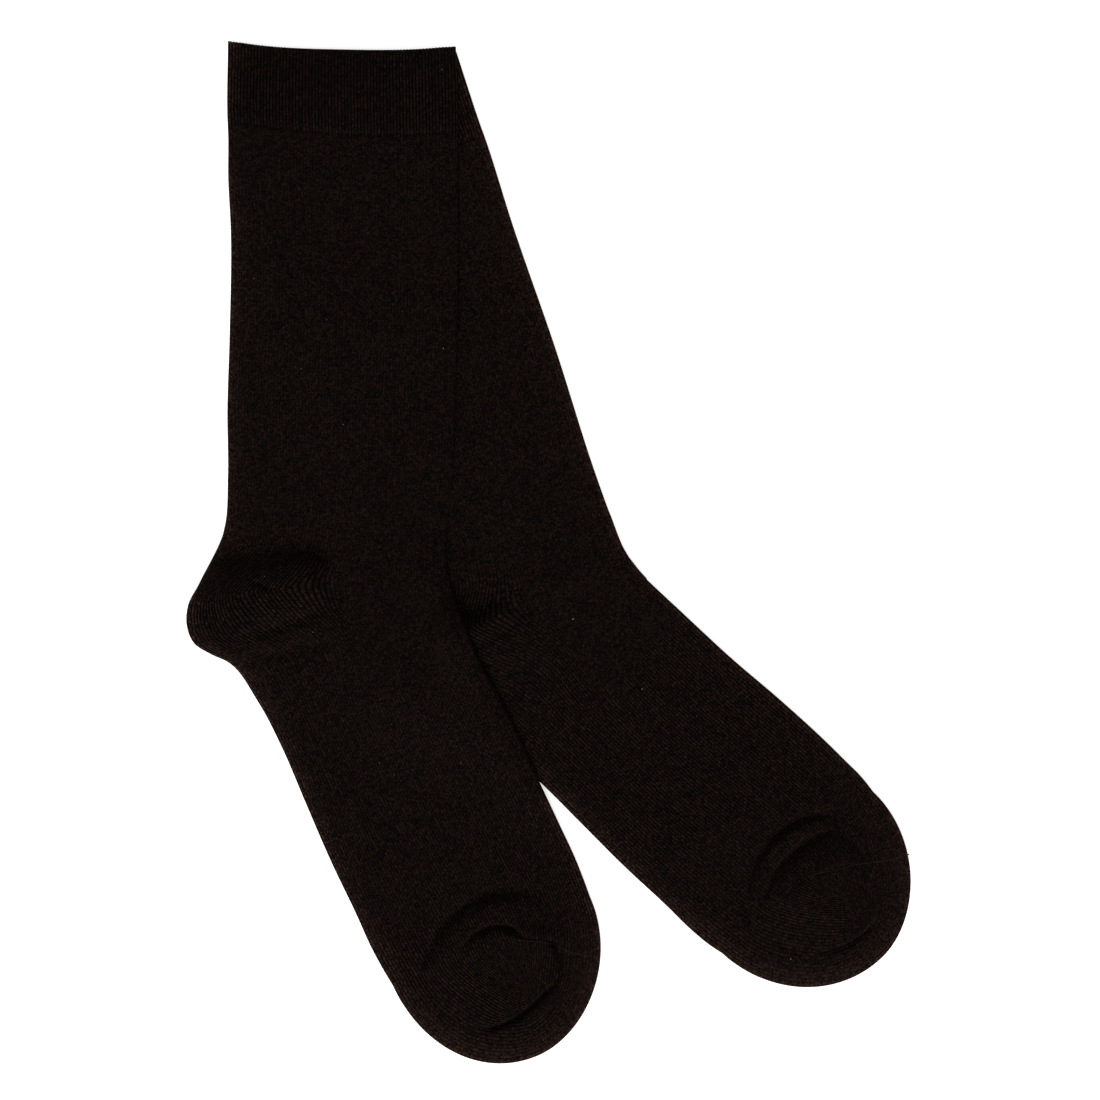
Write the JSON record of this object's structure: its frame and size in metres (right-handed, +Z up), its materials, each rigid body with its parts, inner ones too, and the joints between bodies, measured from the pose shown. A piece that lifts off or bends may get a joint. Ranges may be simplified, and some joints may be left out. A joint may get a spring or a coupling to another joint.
{
  "type": "pair of socks",
  "caption": "Fine-knit crew socks laid flat, one over the other, with a plain welt cuff, gore heel and rounded toe.",
  "frame": {"origin": "bottom centre of the pair's bounding box, on the surface that the socks lie on", "axes": "+X across the pair, from the front sock's heel towards the rear sock's toe; +Y up the legs, from toes to cuffs; +Z up from the surface, through the front sock to its upper side"},
  "size_m": [0.2894, 0.4057, 0.0077],
  "materials": {
    "cotton_knit_front": "matt, fine ribbed knit with a faint cotton fuzz",
    "cotton_knit_rear": "matt, fine ribbed knit with a faint cotton fuzz"
  },
  "bodies": {
    "root": {"front_sock": "cotton_knit_front", "rear_sock": "cotton_knit_rear"}
  },
  "joints": []
}
